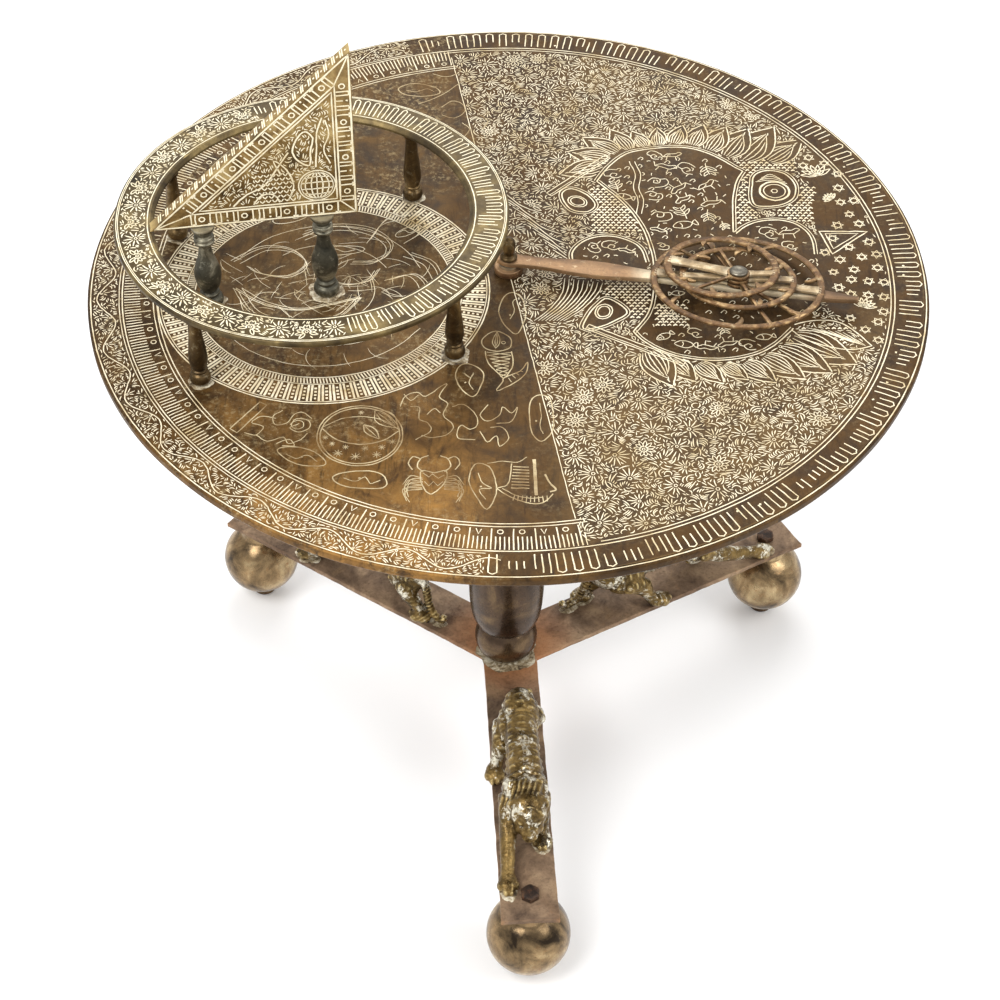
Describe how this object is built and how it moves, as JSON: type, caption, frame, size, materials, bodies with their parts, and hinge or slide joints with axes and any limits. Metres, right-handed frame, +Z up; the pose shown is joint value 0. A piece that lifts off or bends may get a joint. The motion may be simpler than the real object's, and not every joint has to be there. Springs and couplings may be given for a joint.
{
  "type": "engraved astronomical table",
  "caption": "Round engraved brass table with a raised dial ring, an upright triangular gnomon and a pivoted arm with turning openwork rings, on a column and a three-armed base.",
  "frame": {"origin": "on the floor, under the centre of the round top", "axes": "+Z up, square to the table top; -Y towards the front foot; +X towards the side of the arm with the rings"},
  "size_m": [0.6, 0.6, 0.7],
  "materials": {
    "rusty_iron": "rusty flat bar",
    "engraved_brass": "engraved, dark patina with pale filled lines",
    "ring_brass": "engraved, olive patina",
    "gnomon_brass": "engraved, golden patina",
    "dark_bronze": "dark patina, satin",
    "ball_bronze": "dark patina, satin",
    "column_brass": "dark patina, satin",
    "grey_bronze": "grey green patina",
    "leopard_brass": "cast, worn highlights",
    "steel": "old, dull",
    "copper": "worn copper colour",
    "rete_bronze": "brown patina"
  },
  "bodies": {
    "root": {"base_plate": "rusty_iron", "ball_foot_front": "ball_bronze", "foot_stub_front": "dark_bronze", "foot_bolt_front": "rusty_iron", "leopard_front": "leopard_brass", "ball_foot_left": "ball_bronze", "foot_stub_left": "dark_bronze", "foot_bolt_left": "rusty_iron", "leopard_left": "leopard_brass", "ball_foot_right": "ball_bronze", "foot_stub_right": "dark_bronze", "foot_bolt_right": "rusty_iron", "leopard_right": "leopard_brass", "column_foot": "dark_bronze", "column_body": "dark_bronze", "column_neck": "dark_bronze", "column_flange": "dark_bronze", "tie_rod": "steel", "tie_rod_nut": "steel", "tie_rod_washer": "steel", "table_top": "engraved_brass", "dial_ring": "ring_brass", "ring_column_front_left": "column_brass", "ring_column_front_right": "column_brass", "ring_column_back_right": "column_brass", "ring_column_back_left": "column_brass", "gnomon_plate": "gnomon_brass", "gnomon_column_left": "grey_bronze", "gnomon_column_right": "grey_bronze", "pivot_spacer": "copper", "pivot_washer": "steel", "pivot_finial": "dark_bronze"},
    "arm": {"alidade_arm": "copper", "rete_rivet": "steel", "rete_washer_low": "steel", "rete_washer_mid": "steel", "rete_washer_top": "steel"},
    "rete_large": {"rete_large": "rete_bronze"},
    "rete_middle": {"rete_middle": "rete_bronze"},
    "rete_small": {"rete_small": "rete_bronze"}
  },
  "joints": [
    {"name": "arm_turn", "type": "hinge", "parent": "root", "child": "arm", "pos_m": [0, 0, 0.505], "axis": [0, 0, 1], "range_deg": [-85, 110]},
    {"name": "rete_large_turn", "type": "hinge", "parent": "arm", "child": "rete_large", "pos_m": [0.16111, -0.02783, 0.5069], "axis": [0.0266, 0.1542, 0.9877], "continuous": true},
    {"name": "rete_middle_turn", "type": "hinge", "parent": "arm", "child": "rete_middle", "pos_m": [0.16111, -0.02783, 0.5069], "axis": [0.0266, 0.1542, 0.9877], "continuous": true},
    {"name": "rete_small_turn", "type": "hinge", "parent": "arm", "child": "rete_small", "pos_m": [0.16111, -0.02783, 0.5069], "axis": [0.0266, 0.1542, 0.9877], "continuous": true}
  ]
}
